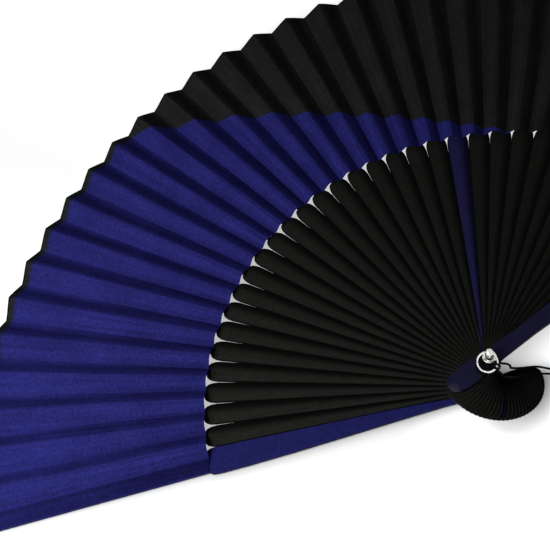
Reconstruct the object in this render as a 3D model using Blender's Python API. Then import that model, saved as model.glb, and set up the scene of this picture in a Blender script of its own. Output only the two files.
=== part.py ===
"""Silk folding fan, spread open and lying on its rear guard.

Metres, +Z up. The rivet's axis is x = y = 0, the lower face of the rivet's head is z = 0, and the
sticks spread evenly to both sides of +Y. Stick 0 is the rear guard, then come the inner ribs, and the
last stick is the front guard. In a stick's own frame +X runs outward from the rivet and +Y points
towards the rear guard.
"""
import math

import bmesh
import bpy
from mathutils import Matrix, Vector

MM = 0.001

# Counts
INNER_RIBS = 32
ACCENT_RIB = 21
LAST_STICK = INNER_RIBS + 1

# How the sticks are spread
RIB_STEP = math.radians(4.77)
REAR_LEAD = math.radians(0.67)
OPEN_ANGLE = LAST_STICK * RIB_STEP - REAR_LEAD
REAR_ANGLE = math.pi / 2 + OPEN_ANGLE / 2
# The ribs lie a little past the even steps, towards the front guard
RIB_LAG = math.radians(0.9)

# General clearances
GAP = 0.3 * MM
CUT_OVERRUN = 2.0 * MM

# Radii from the rivet
TAIL_RADIUS = 19.4 * MM
FRONT_TAIL_RADIUS = 18.2 * MM
WAIST_RADIUS = 19.0 * MM
NECK_END_RADIUS = 38.0 * MM
BLADE_TIP_RADIUS = 110.5 * MM
TIP_ROUNDING = 5.0 * MM
LEAF_OUTER_RADIUS = 205.5 * MM
LEAF_MARGIN = 0.75 * MM
LEAF_INNER_RADIUS = BLADE_TIP_RADIUS + LEAF_MARGIN
SHOULDER_MARGIN = 0.6 * MM
SHOULDER_RADIUS = LEAF_INNER_RADIUS - SHOULDER_MARGIN
GUARD_MARGIN = 1.0 * MM
GUARD_END_RADIUS = LEAF_OUTER_RADIUS + GUARD_MARGIN
SLIP_END_MARGIN = 2.5 * MM
SLIP_END_RADIUS = LEAF_OUTER_RADIUS - SLIP_END_MARGIN

# Widths, each measured from the stick's centre line to its side
HEAD_HALF_WIDTH = 4.15 * MM
PIVOT_HALF_WIDTH = 3.0 * MM
RIB_WAIST_HALF_WIDTH = 2.15 * MM
RIB_NECK_HALF_WIDTH = 2.35 * MM
BLADE_HALF_WIDTH = 4.35 * MM
GUARD_WAIST_HALF_WIDTH = 2.8 * MM
GUARD_NECK_HALF_WIDTH = 3.45 * MM
GUARD_HALF_WIDTH = 5.45 * MM
GUARD_STEP_HALF_WIDTH = 4.2 * MM
GUARD_END_HALF_WIDTH = 5.0 * MM

# Thicknesses and layers
RIB_THICKNESS = 0.4 * MM
RIB_PITCH = RIB_THICKNESS + GAP
GUARD_THICKNESS = 2.0 * MM
GUARD_THINNING = 0.5 * MM
GUARD_CHAMFER = 0.4 * MM
HEAD_THICKNESS = 0.7 * MM
REAR_GUARD_BOTTOM = HEAD_THICKNESS + GAP
REAR_GUARD_TOP = REAR_GUARD_BOTTOM + GUARD_THICKNESS
FRONT_GUARD_BOTTOM = REAR_GUARD_TOP + INNER_RIBS * RIB_PITCH + GAP
FRONT_GUARD_TOP = FRONT_GUARD_BOTTOM + GUARD_THICKNESS

# Leaf: its pleats grow evenly with the radius
PLEAT_HEIGHT = 5.2 * MM
PLEAT_SLOPE = PLEAT_HEIGHT / LEAF_OUTER_RADIUS
LEAF_THICKNESS = 0.3 * MM
MOUNTAIN_ANGLE = math.radians(0.3)
PANEL_ANGLE = RIB_STEP / 2
LEAF_SIDE_INSET = 0.4 * MM
LEAF_LOW = REAR_GUARD_TOP - GUARD_THINNING + GAP + LEAF_THICKNESS
LEAF_HIGH = FRONT_GUARD_BOTTOM + GUARD_THINNING - GAP
RIB_DROOP = PLEAT_SLOPE / LAST_STICK

# Slips: the thin upper ends of the ribs, each under the falling panel beside its mountain crease
SLIP_LEFT = 1.75 * MM
SLIP_WIDTH = 1.9 * MM
SLIP_END_WIDTH = 1.5 * MM
SLIP_BEND_START = LEAF_INNER_RADIUS + GAP
SLIP_BEND = 12.5 * MM
SLIP_TIP_ROUNDING = 1.2 * MM

# Rivet
PIN_RADIUS = 1.2 * MM
PIN_HOLE_RADIUS = PIN_RADIUS + GAP
HEAD_RADIUS = 2.6 * MM
HEAD_EDGE = 0.25 * MM
COLLAR_RADIUS = 2.5 * MM
COLLAR_THICKNESS = 0.7 * MM
COLLAR_EDGE = 0.15 * MM
COLLAR_BOTTOM = FRONT_GUARD_TOP + GAP
COLLAR_TOP = COLLAR_BOTTOM + COLLAR_THICKNESS
NIB_RADIUS = 0.5 * MM
NIB_HEIGHT = 0.6 * MM
KNOB_RADIUS = 1.6 * MM
KNOB_NECK_RADIUS = 1.1 * MM
KNOB_STAND = 2.7 * MM
KNOB_BOTTOM = COLLAR_TOP + GAP
KNOB_CENTRE = KNOB_BOTTOM + KNOB_STAND
SOCKET_RADIUS = NIB_RADIUS + GAP
SOCKET_DEPTH = NIB_HEIGHT
PIN_SIDES = 16
KNOB_RINGS = 10
KNOB_SIDES = 24
COLLAR_SIDES = 24

# Wire ring through the knob's eye
RING_RADIUS = 3.5 * MM
WIRE_RADIUS = 0.36 * MM
EYE_RADIUS = 0.8 * MM
EYE_HALF_LENGTH = math.sqrt(KNOB_RADIUS ** 2 - EYE_RADIUS ** 2)
RING_BOW = EYE_HALF_LENGTH ** 2 / (2 * RING_RADIUS)
RING_REACH = RING_RADIUS - RING_BOW / 2
RING_DIRECTION = math.radians(-133.0)
RING_DIP = math.asin((KNOB_CENTRE - WIRE_RADIUS - GAP - FRONT_GUARD_TOP) / (RING_REACH + RING_RADIUS))
RING_STEPS = 40
WIRE_SIDES = 8

# Cord: a limp loop hitched on the ring, its two strands joined in a knot
CORD_RADIUS = 0.4 * MM
CORD_STEP = 2.5 * (2 * CORD_RADIUS)
HITCH_ANGLE = math.radians(-100.0)
HITCH_CLEARANCE = 0.35 * MM
HITCH_RADIUS = WIRE_RADIUS + HITCH_CLEARANCE + CORD_RADIUS
HITCH_SPREAD = 1.1 * MM
HITCH_REACH = 2.0 * MM
HITCH_STEP = CORD_RADIUS
KNOT_CENTRE = Vector((64.0, -37.0, 1.25)) * MM
KNOT_RADIUS = 1.7 * MM
KNOT_FLATNESS_SHARE = 0.7
KNOT_SEGMENTS = 16

# The strands' routes in millimetres, from the hitch to the knot
UPPER_ROUTE = (
    (3.11, -5.47, 29.9), (3.85, -6.03, 29.7), (4.5, -6.3, 28.3), (4.9, -5.9, 26.0), (5.5, -4.8, 22.8),
    (6.7, -3.5, 19.0), (8.5, -2.4, 14.8), (10.6, -1.6, 11.2), (12.8, -1.2, 8.4), (15.0, -1.1, 6.5),
    (17.1, -1.4, 5.4), (19.0, -2.1, 4.7), (20.9, -3.0, 3.6), (23.2, -4.1, 2.2), (26.2, -5.2, 1.0),
    (30.4, -6.4, 0.5), (36.0, -7.9, 0.45), (43.0, -10.5, 0.45), (50.0, -14.9, 0.45),
    (56.0, -20.8, 0.45), (60.6, -27.2, 0.5), (63.1, -32.2, 0.8), (63.8, -35.0, 1.15),
)
LOWER_ROUTE = (
    (0.37, -7.24, 28.12), (0.75, -8.1, 27.85), (1.6, -8.7, 26.8), (2.7, -8.3, 24.6), (3.8, -7.1, 20.9),
    (5.1, -6.2, 17.5), (6.9, -5.4, 14.4), (9.2, -4.9, 11.7), (12.0, -4.8, 9.3), (14.7, -5.1, 7.6),
    (17.2, -5.4, 6.4), (19.6, -5.7, 4.9), (22.0, -6.4, 3.3), (24.6, -7.6, 1.8), (27.8, -9.4, 0.8),
    (32.4, -12.2, 0.45), (38.0, -16.0, 0.45), (44.0, -20.8, 0.45), (50.0, -26.4, 0.45),
    (55.6, -31.6, 0.5), (59.8, -35.2, 0.8), (62.0, -36.6, 1.15),
)

# Outlines, as shares of the sizes that they follow
TAIL_SHARES = ((1.0, 0.28), (0.965, 0.56), (0.88, 0.80), (0.70, 0.97), (0.48, 1.0), (0.24, 0.87))
TIP_SHARES = ((0.0, 1.0), (0.45, 0.945), (0.78, 0.80), (0.95, 0.60))
GUARD_SIDE_SHARES = ((0.0, 0.0), (0.30, 0.42), (0.58, 0.77), (0.82, 0.96), (0.97, 1.0))
GUARD_END_SHARES = ((0.0, 1.0), (0.55, 0.93), (0.88, 0.76), (1.0, 0.52))
GUARD_END_ROUNDING = 2.4 * MM
SHOULDER_ROUNDING = 2.8 * MM
# The hitch, as shares of its spread along the wire, then of its radius outward and upward
HITCH_END_SHARE = -0.62
HITCH_SHARES = (
    (-1.0, 1.35, -0.64), (-1.0, 0.66, -0.86), (-0.95, 0.0, -1.0), (-0.88, -0.72, -0.72), (-0.82, -1.0, 0.0),
    (-0.74, -0.70, 0.74), (-0.66, 0.0, 1.02), (-0.50, 0.66, 0.86), (-0.26, 0.98, 0.60),
    (0.0, 1.06, 0.50),
)


def clear_scene():
    for item in list(bpy.data.objects):
        bpy.data.objects.remove(item, do_unlink=True)


def make_material(name, colour, roughness, metallic):
    material = bpy.data.materials.new(name)
    material.use_nodes = True
    shader = material.node_tree.nodes["Principled BSDF"]
    shader.inputs["Base Color"].default_value = (*colour, 1.0)
    shader.inputs["Roughness"].default_value = roughness
    shader.inputs["Metallic"].default_value = metallic
    material.diffuse_color = (*colour, 1.0)
    return material


def add_object(name, data, material):
    data.materials.append(material)
    item = bpy.data.objects.new(name, data)
    bpy.context.scene.collection.objects.link(item)
    return item


def mesh_from(name, bm):
    bmesh.ops.recalc_face_normals(bm, faces=bm.faces[:])
    mesh = bpy.data.meshes.new(name)
    bm.to_mesh(mesh)
    bm.free()
    return mesh


def shade_round(mesh, sharp_degrees=35.0):
    mesh.shade_smooth()
    mesh.set_sharp_from_angle(angle=math.radians(sharp_degrees))


def loft(name, sections):
    """Joins closed sections with the same number of points into one closed body."""
    bm = bmesh.new()
    rings = [[bm.verts.new(point) for point in section] for section in sections]
    count = len(rings[0])
    for near, far in zip(rings, rings[1:]):
        for i in range(count):
            j = (i + 1) % count
            bm.faces.new((near[i], near[j], far[j], far[i]))
    bm.faces.new(rings[0])
    bm.faces.new(reversed(rings[-1]))
    return mesh_from(name, bm)


def turned(name, profile, sides):
    """Turns a closed profile of (radius, height) points round the rivet's axis."""
    bm = bmesh.new()
    rings = []
    for radius, height in profile:
        if radius > 0:
            angles = [2 * math.pi * i / sides for i in range(sides)]
            rings.append([bm.verts.new((radius * math.cos(a), radius * math.sin(a), height)) for a in angles])
        else:
            rings.append([bm.verts.new((0, 0, height))])
    closed = all(len(ring) > 1 for ring in rings)
    pairs = list(zip(rings, rings[1:])) + ([(rings[-1], rings[0])] if closed else [])
    for low, high in pairs:
        for i in range(sides):
            j = (i + 1) % sides
            corners = [low[i % len(low)], low[j % len(low)], high[j % len(high)], high[i % len(high)]]
            bm.faces.new(list(dict.fromkeys(corners)))
    return mesh_from(name, bm)


def add_cutter(name, radius, length, matrix, sides):
    bm = bmesh.new()
    bmesh.ops.create_cone(
        bm, cap_ends=True, segments=sides, radius1=radius, radius2=radius, depth=length, matrix=matrix)
    cutter = bpy.data.objects.new(name, mesh_from(name, bm))
    bpy.context.scene.collection.objects.link(cutter)
    cutter.hide_render = True
    cutter.display_type = "WIRE"
    return cutter


def cut(item, cutter):
    boolean = item.modifiers.new("cut", "BOOLEAN")
    boolean.operation = "DIFFERENCE"
    boolean.solver = "EXACT"
    boolean.object = cutter


def even_angle(index):
    """Direction in even steps from guard to guard; the last stick is the front guard."""
    if index == 0:
        return REAR_ANGLE
    return REAR_ANGLE - (index * RIB_STEP - REAR_LEAD)


def stick_angle(index):
    """Direction of a stick in the open fan."""
    if index in (0, LAST_STICK):
        return even_angle(index)
    return even_angle(index) - RIB_LAG


def valley_height(index, radius):
    """Upper face of the cloth at the valley crease before the stick with this index."""
    rise = (LEAF_HIGH - LEAF_LOW - PLEAT_SLOPE * radius) / INNER_RIBS
    return LEAF_LOW + (index - 1) * rise


def falling_panel_height(index, radius, side):
    """Upper face of the cloth on a rib's falling panel, at a place beside its centre line."""
    below_crease = (radius * (MOUNTAIN_ANGLE + RIB_LAG) - side) / (radius * PANEL_ANGLE)
    return valley_height(index, radius) + PLEAT_SLOPE * radius * (1 - below_crease)


def rib_outline():
    """Places along a rib with its half width there, from the tail to the blade's tip."""
    outline = [(-share * TAIL_RADIUS, width * HEAD_HALF_WIDTH) for share, width in TAIL_SHARES]
    outline.append((0, PIVOT_HALF_WIDTH))
    outline.append((WAIST_RADIUS, RIB_WAIST_HALF_WIDTH))
    outline.append((NECK_END_RADIUS, RIB_NECK_HALF_WIDTH))
    rounding_start = BLADE_TIP_RADIUS - TIP_ROUNDING
    for share, width in TIP_SHARES:
        outline.append((rounding_start + share * TIP_ROUNDING, width * BLADE_HALF_WIDTH))
    return outline


def rib_top(index, radius):
    """Upper face of a rib's blade: it droops a little, and evenly, outward from the rivet."""
    return REAR_GUARD_TOP + index * (RIB_PITCH - RIB_DROOP * max(radius, 0))


def rib_section(place, left, right, top_left, top_right):
    return (
        Vector((place, left, top_left)),
        Vector((place, right, top_right)),
        Vector((place, right, top_right - RIB_THICKNESS)),
        Vector((place, left, top_left - RIB_THICKNESS)),
    )


def slip_sections(index):
    sections = []
    for place in (BLADE_TIP_RADIUS, SLIP_BEND_START):
        top = rib_top(index, place)
        sections.append(rib_section(place, SLIP_LEFT, SLIP_LEFT - SLIP_WIDTH, top, top))
    bend_end = SLIP_BEND_START + SLIP_BEND
    for place in (bend_end, SLIP_END_RADIUS - SLIP_TIP_ROUNDING, SLIP_END_RADIUS):
        share = (place - bend_end) / (SLIP_END_RADIUS - bend_end)
        width = SLIP_WIDTH + (SLIP_END_WIDTH - SLIP_WIDTH) * share
        left = SLIP_LEFT
        right = SLIP_LEFT - width
        if place == SLIP_END_RADIUS:
            left -= width / 4
            right += width / 4
        under = LEAF_THICKNESS + GAP
        tops = [falling_panel_height(index, place, side) - under for side in (left, right)]
        sections.append(rib_section(place, left, right, *tops))
    return sections


def add_rib(index, cutter, material):
    sections = []
    for place, half in rib_outline():
        top = rib_top(index, place)
        sections.append(rib_section(place, half, -half, top, top))
    sections += slip_sections(index)
    name = "rib_%02d" % index
    rib = add_object(name, loft(name, sections), material)
    rib.rotation_euler.z = stick_angle(index)
    cut(rib, cutter)
    return rib


def guard_half_width(radius):
    """Half width of a guard's thin outer part, under the leaf."""
    share = (radius - SHOULDER_RADIUS) / (GUARD_END_RADIUS - SHOULDER_RADIUS)
    return GUARD_STEP_HALF_WIDTH + (GUARD_END_HALF_WIDTH - GUARD_STEP_HALF_WIDTH) * share


def guard_outline(tail_radius):
    """Places along a guard with its half width, and whether it is thinned there."""
    outline = [(-share * tail_radius, width * HEAD_HALF_WIDTH, False) for share, width in TAIL_SHARES]
    outline.append((0, PIVOT_HALF_WIDTH, False))
    outline.append((WAIST_RADIUS, GUARD_WAIST_HALF_WIDTH, False))
    side_length = SHOULDER_RADIUS - SHOULDER_ROUNDING - NECK_END_RADIUS
    for share, width in GUARD_SIDE_SHARES:
        half = GUARD_NECK_HALF_WIDTH + (GUARD_HALF_WIDTH - GUARD_NECK_HALF_WIDTH) * width
        outline.append((NECK_END_RADIUS + share * side_length, half, False))
    outline.append((SHOULDER_RADIUS - SHOULDER_ROUNDING / 2, GUARD_HALF_WIDTH - GUARD_CHAMFER / 2, False))
    outline.append((SHOULDER_RADIUS - GUARD_CHAMFER, GUARD_HALF_WIDTH - 2 * GUARD_CHAMFER, False))
    outline.append((SHOULDER_RADIUS, guard_half_width(SHOULDER_RADIUS), True))
    rounding_start = GUARD_END_RADIUS - GUARD_END_ROUNDING
    for share, width in GUARD_END_SHARES:
        place = rounding_start + share * GUARD_END_ROUNDING
        outline.append((place, width * guard_half_width(rounding_start), True))
    return outline


def guard_section(place, half, low, high):
    edge = min(GUARD_CHAMFER, (high - low) / 3, half / 3)
    return (
        Vector((place, half, low + edge)),
        Vector((place, half, high - edge)),
        Vector((place, half - edge, high)),
        Vector((place, edge - half, high)),
        Vector((place, -half, high - edge)),
        Vector((place, -half, low + edge)),
        Vector((place, edge - half, low)),
        Vector((place, half - edge, low)),
    )


def add_guard(name, index, bottom, tail_radius, thin_from_top, cutter, material):
    sections = []
    for place, half, thinned in guard_outline(tail_radius):
        low = bottom
        high = bottom + GUARD_THICKNESS
        if thinned and thin_from_top:
            high -= GUARD_THINNING
        elif thinned:
            low += GUARD_THINNING
        sections.append(guard_section(place, half, low, high))
    guard = add_object(name, loft(name, sections), material)
    guard.rotation_euler.z = stick_angle(index)
    cut(guard, cutter)
    return guard


def place_on_stick(index, along, side, height):
    turn = Matrix.Rotation(stick_angle(index), 3, "Z")
    return turn @ Vector((along, side, height))


def leaf_crease(kind, index):
    """Two ends of one line of the leaf: its cut edges lie on the guards, its creases are radial."""
    ends = []
    for radius in (LEAF_INNER_RADIUS, LEAF_OUTER_RADIUS):
        if kind == "edge":
            side = guard_half_width(radius) - LEAF_SIDE_INSET
            if index == 0:
                point = place_on_stick(0, radius, side, LEAF_LOW)
            else:
                point = place_on_stick(index, radius, -side, LEAF_HIGH)
        else:
            angle = even_angle(index) + MOUNTAIN_ANGLE
            height = valley_height(index, radius)
            if kind == "valley":
                angle += PANEL_ANGLE
            else:
                height += PLEAT_SLOPE * radius
            point = Vector((radius * math.cos(angle), radius * math.sin(angle), height))
        ends.append(point)
    return ends


def add_leaf(material):
    lines = [leaf_crease("edge", 0)]
    for index in range(1, LAST_STICK + 1):
        lines.append(leaf_crease("valley", index))
        lines.append(leaf_crease("mountain", index))
    lines.append(leaf_crease("edge", LAST_STICK))
    down = Vector((0, 0, LEAF_THICKNESS))
    sections = [(inner, outer, outer - down, inner - down) for inner, outer in lines]
    return add_object("silk_leaf", loft("silk_leaf", sections), material)


def add_rivet_pin(material):
    profile = (
        (0, 0),
        (HEAD_RADIUS - HEAD_EDGE, 0),
        (HEAD_RADIUS, HEAD_EDGE),
        (HEAD_RADIUS, HEAD_THICKNESS),
        (PIN_RADIUS, HEAD_THICKNESS),
        (PIN_RADIUS, COLLAR_TOP),
        (NIB_RADIUS, COLLAR_TOP),
        (NIB_RADIUS, COLLAR_TOP + NIB_HEIGHT),
        (0, COLLAR_TOP + NIB_HEIGHT),
    )
    pin = add_object("rivet_pin", turned("rivet_pin", profile, PIN_SIDES), material)
    shade_round(pin.data)


def add_collar(material):
    profile = (
        (PIN_HOLE_RADIUS, COLLAR_BOTTOM),
        (COLLAR_RADIUS, COLLAR_BOTTOM),
        (COLLAR_RADIUS, COLLAR_TOP - COLLAR_EDGE),
        (COLLAR_RADIUS - COLLAR_EDGE, COLLAR_TOP),
        (PIN_HOLE_RADIUS, COLLAR_TOP),
    )
    collar = add_object("rivet_collar", turned("rivet_collar", profile, COLLAR_SIDES), material)
    shade_round(collar.data)


def add_knob(material):
    """Ball on a short neck, with a socket for the pin below and an eye across for the ring."""
    lowest = math.asin(KNOB_NECK_RADIUS / KNOB_RADIUS)
    ball = []
    for i in range(KNOB_RINGS + 1):
        polar = math.pi - lowest - (math.pi - lowest) * i / KNOB_RINGS
        radius = KNOB_RADIUS * math.sin(polar) if i < KNOB_RINGS else 0
        ball.append((radius, KNOB_CENTRE + KNOB_RADIUS * math.cos(polar)))
    profile = [
        (0, KNOB_BOTTOM + SOCKET_DEPTH),
        (SOCKET_RADIUS, KNOB_BOTTOM + SOCKET_DEPTH),
        (SOCKET_RADIUS, KNOB_BOTTOM),
        (KNOB_NECK_RADIUS, KNOB_BOTTOM),
    ] + ball
    knob = add_object("rivet_knob", turned("rivet_knob", profile, KNOB_SIDES), material)
    shade_round(knob.data)
    across = Matrix.Translation((0, 0, KNOB_CENTRE)) @ Matrix.Rotation(RING_DIRECTION, 4, "Z")
    across = across @ Matrix.Rotation(math.pi / 2, 4, "X")
    cut(knob, add_cutter("eye_cutter", EYE_RADIUS, 2 * (KNOB_RADIUS + CUT_OVERRUN), across, PIN_SIDES))


def ring_frame():
    """Ring's own frame: origin in the knob's eye, X towards its far side, Z along its normal."""
    turn = Matrix.Rotation(RING_DIRECTION, 4, "Z") @ Matrix.Rotation(RING_DIP, 4, "Y")
    return Matrix.Translation((0, 0, KNOB_CENTRE)) @ turn


def wire_point(angle):
    """Middle of the ring's wire, counted round from the knob's eye."""
    return Vector((RING_REACH - RING_RADIUS * math.cos(angle), -RING_RADIUS * math.sin(angle), 0))


def add_ring(material):
    bm = bmesh.new()
    rings = []
    for i in range(RING_STEPS):
        angle = 2 * math.pi * i / RING_STEPS
        outward = Vector((-math.cos(angle), -math.sin(angle), 0))
        ring = []
        for j in range(WIRE_SIDES):
            turn = 2 * math.pi * (j + 0.5) / WIRE_SIDES
            offset = outward * math.cos(turn) + Vector((0, 0, 1)) * math.sin(turn)
            ring.append(bm.verts.new(wire_point(angle) + offset * WIRE_RADIUS))
        rings.append(ring)
    for i, near in enumerate(rings):
        far = rings[(i + 1) % RING_STEPS]
        for j in range(WIRE_SIDES):
            k = (j + 1) % WIRE_SIDES
            bm.faces.new((near[j], near[k], far[k], far[j]))
    ring = add_object("bail_ring", mesh_from("bail_ring", bm), material)
    ring.matrix_world = ring_frame()
    shade_round(ring.data, 60.0)


def smooth_points(route, step):
    """Evenly spaced points on one smooth curve through a route's own points."""
    points = [Vector(point) for point in route]
    points = [2 * points[0] - points[1]] + points + [2 * points[-1] - points[-2]]
    fine = []
    pieces = 12
    for i in range(1, len(points) - 2):
        before, start, end, after = points[i - 1:i + 3]
        for j in range(pieces):
            t = j / pieces
            fine.append(
                start + 0.5 * t * (
                    (end - before)
                    + t * ((2 * before - 5 * start + 4 * end - after)
                           + t * (3 * (start - end) + after - before))))
    fine.append(points[-2])
    lengths = [0.0]
    for a, b in zip(fine, fine[1:]):
        lengths.append(lengths[-1] + (b - a).length)
    count = max(2, round(lengths[-1] / step))
    spaced = []
    place = 0
    for i in range(count + 1):
        wanted = lengths[-1] * i / count
        while place < len(fine) - 2 and lengths[place + 1] < wanted:
            place += 1
        span = lengths[place + 1] - lengths[place]
        spaced.append(fine[place].lerp(fine[place + 1], (wanted - lengths[place]) / span))
    return spaced, lengths[-1]


def add_tube(name, route, step, material):
    points, length = smooth_points(route, step)
    curve = bpy.data.curves.new(name, "CURVE")
    curve.dimensions = "3D"
    curve.bevel_depth = CORD_RADIUS
    curve.bevel_resolution = 2
    curve.use_fill_caps = True
    spline = curve.splines.new("POLY")
    spline.points.add(len(points) - 1)
    for slot, point in zip(spline.points, points):
        slot.co = (*point, 1.0)
    print(name, "is %.1f mm long" % (length / MM))
    return add_object(name, curve, material)


def add_hitch(material):
    """The cord's bight: under the wire, up inside the ring, over it, and back the same way."""
    middle = Vector((RING_REACH, 0, 0))
    upward = Vector((0, 0, 1))
    half = [(-1.0, HITCH_REACH / HITCH_RADIUS, HITCH_END_SHARE)] + list(HITCH_SHARES)
    shares = half + [(-share, out, up) for share, out, up in reversed(half[:-1])]
    route = []
    for share, out, up in shares:
        wire = wire_point(HITCH_ANGLE + share * HITCH_SPREAD / RING_RADIUS)
        outward = (wire - middle).normalized()
        route.append(wire + (outward * out + upward * up) * HITCH_RADIUS)
    hitch = add_tube("cord_hitch", route, HITCH_STEP, material)
    hitch.matrix_world = ring_frame()


def add_knot(material):
    bm = bmesh.new()
    bmesh.ops.create_uvsphere(bm, u_segments=KNOT_SEGMENTS, v_segments=KNOT_SEGMENTS // 2, radius=KNOT_RADIUS)
    bmesh.ops.scale(bm, vec=(1, 1, KNOT_FLATNESS_SHARE), verts=bm.verts[:])
    knot = add_object("cord_knot", mesh_from("cord_knot", bm), material)
    knot.location = KNOT_CENTRE
    shade_round(knot.data)


def build():
    clear_scene()
    blue_lacquer = make_material("blue_lacquer", (0.020, 0.016, 0.155), 0.38, 0.0)
    black_bamboo = make_material("black_bamboo", (0.013, 0.015, 0.012), 0.55, 0.0)
    blue_bamboo = make_material("blue_bamboo", (0.018, 0.015, 0.140), 0.55, 0.0)
    silk = make_material("silk", (0.030, 0.026, 0.250), 0.85, 0.0)
    steel = make_material("polished_steel", (0.80, 0.80, 0.78), 0.15, 1.0)
    black_cord = make_material("black_cord", (0.010, 0.010, 0.011), 0.80, 0.0)

    middle = Matrix.Translation((0, 0, FRONT_GUARD_TOP / 2))
    hole_length = FRONT_GUARD_TOP + 2 * CUT_OVERRUN
    pin_cutter = add_cutter("pin_hole_cutter", PIN_HOLE_RADIUS, hole_length, middle, PIN_SIDES)

    add_guard("rear_guard", 0, REAR_GUARD_BOTTOM, TAIL_RADIUS, True, pin_cutter, blue_lacquer)
    for index in range(1, INNER_RIBS + 1):
        add_rib(index, pin_cutter, blue_bamboo if index == ACCENT_RIB else black_bamboo)
    add_guard(
        "front_guard", LAST_STICK, FRONT_GUARD_BOTTOM, FRONT_TAIL_RADIUS, False, pin_cutter, blue_lacquer)
    add_leaf(silk)
    add_rivet_pin(steel)
    add_collar(steel)
    add_knob(steel)
    add_ring(steel)
    add_hitch(black_cord)
    for name, route in (("cord_upper_strand", UPPER_ROUTE), ("cord_lower_strand", LOWER_ROUTE)):
        add_tube(name, [Vector(point) * MM for point in route], CORD_STEP, black_cord)
    add_knot(black_cord)


build()
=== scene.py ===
"""Looks of the silk folding fan: its pleated leaf, its cord and the finish of every surface.

Metres, +Z up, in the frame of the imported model: the rivet's axis is x = y = 0, and the sticks spread
evenly to both sides of +Y. Stick 0 is the rear guard and the last stick is the front guard.
"""
import math

import bpy
import numpy as np
from mathutils import Matrix, Quaternion, Vector


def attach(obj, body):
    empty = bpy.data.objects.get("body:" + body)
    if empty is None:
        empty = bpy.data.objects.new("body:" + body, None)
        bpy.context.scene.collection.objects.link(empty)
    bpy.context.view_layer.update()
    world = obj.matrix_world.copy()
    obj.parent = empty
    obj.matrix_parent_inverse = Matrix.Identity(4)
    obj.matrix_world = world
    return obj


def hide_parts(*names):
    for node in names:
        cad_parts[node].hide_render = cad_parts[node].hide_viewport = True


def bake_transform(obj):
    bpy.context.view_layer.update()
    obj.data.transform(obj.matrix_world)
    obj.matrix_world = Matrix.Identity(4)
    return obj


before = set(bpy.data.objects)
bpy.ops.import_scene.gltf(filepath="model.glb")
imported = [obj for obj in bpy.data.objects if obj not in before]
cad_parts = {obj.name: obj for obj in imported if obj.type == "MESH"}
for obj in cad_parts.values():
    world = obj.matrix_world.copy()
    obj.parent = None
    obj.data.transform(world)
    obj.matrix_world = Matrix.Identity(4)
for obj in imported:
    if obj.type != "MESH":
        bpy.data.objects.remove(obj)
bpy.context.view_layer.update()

MM = 0.001

# Camera
CAMERA_PLACE = Vector((-69.324, -134.775, 346.310)) * MM
CAMERA_TARGET = Vector((-53.032, 87.744, 0.0)) * MM
CAMERA_ROLL = math.radians(-21.92)
CAMERA_LENS_MM = 63.73
CAMERA_SENSOR_MM = 36.0
CAMERA_CLIP = (10.0 * MM, 20.0)

# Light
LAMP_PLACE = Vector((-0.35, -0.06, 0.31))
LAMP_AIM = Vector((0.0, 0.08, 0.0))
LAMP_SIZE = 0.30
LAMP_WATTS = 1.80
WORLD_LIGHT = 0.02

# Floor
FLOOR_REACH = 4.0
FLOOR_DROP = 0.05 * MM
# Its fill makes up for what the lamp loses: light falls with the distance squared, and comes in flatter too
LAMP_GLOW = 0.051
LAMP_FALL_POWER = 3.0
FILL_LEAST = 0.52
FILL_FULL = 1.04
# The fill is shut out close to the heads and outside the rear guard, but not between the blades
FILL_SHUT_REACH = 15.0 * MM
FILL_SHUT_POWER = 3.0
STACK_REACH = (60.0 * MM, 90.0 * MM)
REAR_FILL_REACH = (0.0, -4.0 * MM)
# Past the front guard more light comes in from the side, but not under it
FRONT_FILL = 0.42
FRONT_FILL_REACH = (-9.0 * MM, 4.0 * MM)

# Sticks
INNER_RIBS = 32
ACCENT_RIB = 21
LAST_STICK = INNER_RIBS + 1
RIB_STEP = math.radians(4.77)
REAR_LEAD = math.radians(0.67)
OPEN_ANGLE = LAST_STICK * RIB_STEP - REAR_LEAD
REAR_ANGLE = math.pi / 2 + OPEN_ANGLE / 2
FRONT_ANGLE = REAR_ANGLE - OPEN_ANGLE
RIB_LAG = math.radians(0.9)

# Leaf
LEAF_INNER_RADIUS = 111.25 * MM
LEAF_OUTER_RADIUS = 205.5 * MM
LEAF_LOW = 3.1 * MM
LEAF_HIGH = 25.9 * MM
PLEAT_HEIGHT = 5.2 * MM
PLEAT_SLOPE = PLEAT_HEIGHT / LEAF_OUTER_RADIUS
MOUNTAIN_ANGLE = math.radians(0.3)
PANEL_ANGLE = RIB_STEP / 2
CLOTH_THICKNESS = 0.12 * MM
LEAF_ROWS = 24
FLAT_COLUMNS = 4
LEAF_SHARP_ANGLE = math.radians(40.0)
# A sheet can't be stated narrower than this
# The inner edge of the cloth: it reaches the tips of the blades, and over them towards the front guard
INNER_RADII = {"edge": 110.9 * MM, "valley": 109.8 * MM, "mountain": 109.7 * MM}
INNER_DRAW = 2.4 * MM
DRAWN_RIBS = (9, 22)
# The pleats lean: their creases lie a little past the ribs at the rear and short of them elsewhere
REAR_LEAN = math.radians(0.90)
FRONT_LEAN = math.radians(0.05)
LEAN_FROM = math.radians(128.0)
LEAN_TO = math.radians(150.0)
LEAN_RISE = 0.42

# Crest of a pleat: a narrow strip of cloth lies flatter there, over the rib below it
CREST_WIDTH = 1.7 * MM
CREST_LEAST_WIDTH = 0.40 * MM
CREST_END_SHARE = 0.75
CREST_LIFT_SHARE = 0.65
SEAM_WIDTH = 0.18 * MM
SEAM_DEPTH = 0.16 * MM
CREST_FULLNESS = 0.02 * MM
CREST_TURN_SHARE = 0.99
CREST_TURN_LIFT_SHARE = 0.05
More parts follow.
